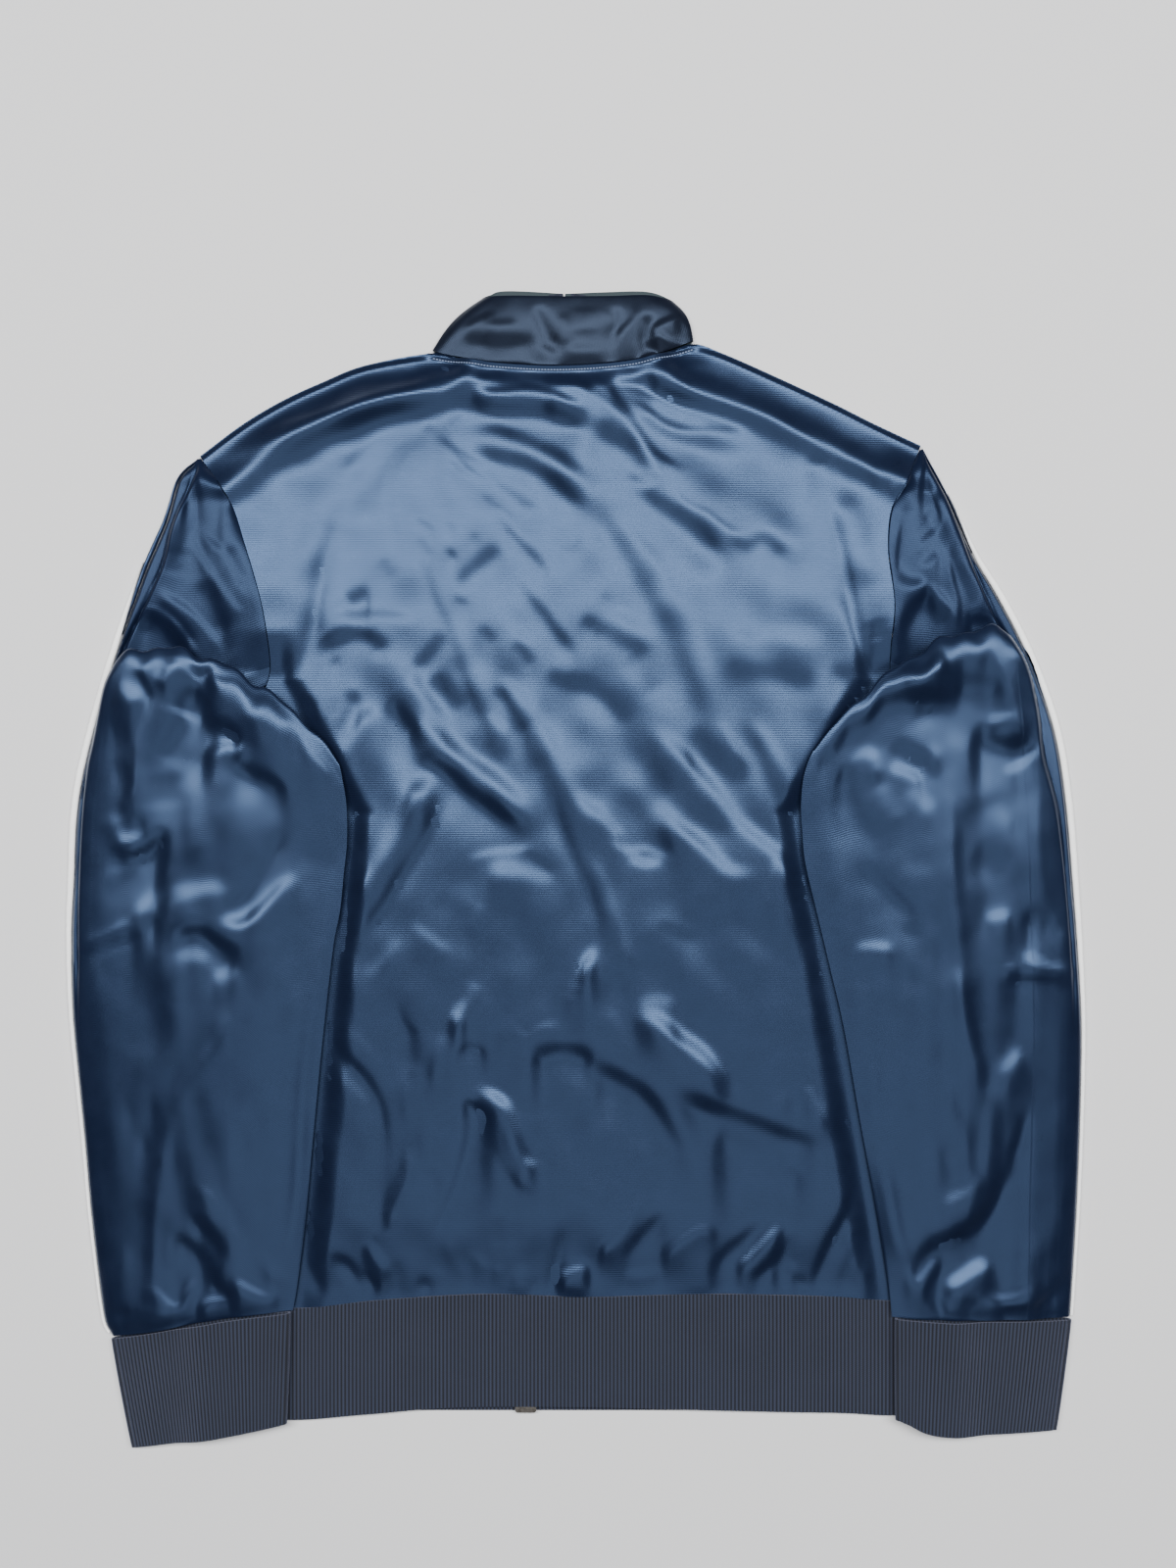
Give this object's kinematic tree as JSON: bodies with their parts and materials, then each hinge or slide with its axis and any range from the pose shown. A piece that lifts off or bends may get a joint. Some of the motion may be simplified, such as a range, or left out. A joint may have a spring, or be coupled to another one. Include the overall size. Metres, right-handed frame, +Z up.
{
  "type": "track jacket",
  "caption": "Zip-up track jacket lying face down, sleeves folded down over its sides: navy satin body, stand collar, white piping on the sleeves, rib-knit cuffs and hem band.",
  "frame": {"origin": "under the middle of the jacket's outline, on the surface it lies on", "axes": "+X across the jacket to the right as seen from above, +Y from the hem to the collar, +Z up from the surface to the jacket's back"},
  "size_m": [0.6754, 0.7648, 0.023],
  "materials": {
    "navy_satin": "glossy tricot",
    "collar_satin": "glossy fine-ribbed tricot",
    "rib_knit": "matte rib knit",
    "white_piping": "matte tricot",
    "zip_tape": "woven",
    "zip_metal": "dull"
  },
  "bodies": {
    "jacket": {"back": "navy_satin", "collar": "collar_satin", "hem_band": "rib_knit", "front_left": "navy_satin", "sleeve_front_left": "navy_satin", "sleeve_back_left": "navy_satin", "piping_left": "white_piping", "cuff_left": "rib_knit", "zip_tape_left": "zip_tape", "front_right": "navy_satin", "sleeve_front_right": "navy_satin", "sleeve_back_right": "navy_satin", "piping_right": "white_piping", "cuff_right": "rib_knit", "zip_tape_right": "zip_tape", "zip_chain": "zip_metal", "zip_box": "zip_metal", "zip_slider": "zip_metal"},
    "pull_tab": {"zip_pull": "zip_metal"}
  },
  "joints": [
    {"name": "pull_tab_hinge", "type": "hinge", "parent": "jacket", "child": "pull_tab", "pos_m": [-0.00678, 0.363, 0.0019], "axis": [1, 0, 0], "range_deg": [0, 180]}
  ]
}
